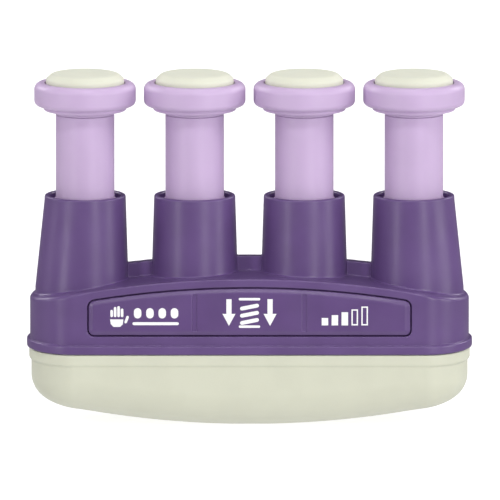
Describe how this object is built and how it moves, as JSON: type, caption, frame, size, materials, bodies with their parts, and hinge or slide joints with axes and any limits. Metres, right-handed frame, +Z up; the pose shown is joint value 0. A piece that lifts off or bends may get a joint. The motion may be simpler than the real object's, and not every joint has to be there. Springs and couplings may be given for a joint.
{
  "type": "finger exerciser",
  "caption": "Hand-held finger exerciser: a row of spring-loaded finger pistons in an arched housing over a soft palm bar.",
  "frame": {"origin": "centre of the flat land under the palm bar, on the surface that the object stands on", "axes": "+Z up along the pistons, +X along the row of pistons, -Y towards the front panel"},
  "size_m": [0.0892, 0.0254, 0.07],
  "materials": {
    "purple_shell": "satin moulded",
    "lilac_piston": "satin moulded, slightly translucent",
    "cream_pad": "soft matte",
    "cream_grip": "soft matte",
    "dark_tray": "moulded",
    "spring_steel": "bright zinc",
    "screw_steel": "zinc plated",
    "white_print": "pad printed ink"
  },
  "bodies": {
    "case": {"housing": "purple_shell", "front_panel": "purple_shell", "rear_panel": "purple_shell", "palm_grip": "cream_grip", "base_tray": "dark_tray", "case_screw_1": "screw_steel", "case_screw_2": "screw_steel", "case_screw_3": "screw_steel", "case_screw_4": "screw_steel", "spring_1": "spring_steel", "spring_2": "spring_steel", "spring_3": "spring_steel", "spring_4": "spring_steel"},
    "piston_1": {"piston_stem_1": "lilac_piston", "finger_cap_1": "lilac_piston", "finger_pad_1": "cream_pad"},
    "piston_2": {"piston_stem_2": "lilac_piston", "finger_cap_2": "lilac_piston", "finger_pad_2": "cream_pad"},
    "piston_3": {"piston_stem_3": "lilac_piston", "finger_cap_3": "lilac_piston", "finger_pad_3": "cream_pad"},
    "piston_4": {"piston_stem_4": "lilac_piston", "finger_cap_4": "lilac_piston", "finger_pad_4": "cream_pad"}
  },
  "joints": [
    {"name": "press_1", "type": "slide", "parent": "case", "child": "piston_1", "axis": [0, 0, -1], "range_m": [0, 0.0168], "stiffness_N_per_m": 1630, "springref_m": -0.0026, "deforming": ["spring_1"]},
    {"name": "press_2", "type": "slide", "parent": "case", "child": "piston_2", "axis": [0, 0, -1], "range_m": [0, 0.0168], "stiffness_N_per_m": 1630, "springref_m": -0.0026, "deforming": ["spring_2"]},
    {"name": "press_3", "type": "slide", "parent": "case", "child": "piston_3", "axis": [0, 0, -1], "range_m": [0, 0.0168], "stiffness_N_per_m": 1630, "springref_m": -0.0026, "deforming": ["spring_3"]},
    {"name": "press_4", "type": "slide", "parent": "case", "child": "piston_4", "axis": [0, 0, -1], "range_m": [0, 0.0168], "stiffness_N_per_m": 1630, "springref_m": -0.0026, "deforming": ["spring_4"]}
  ]
}
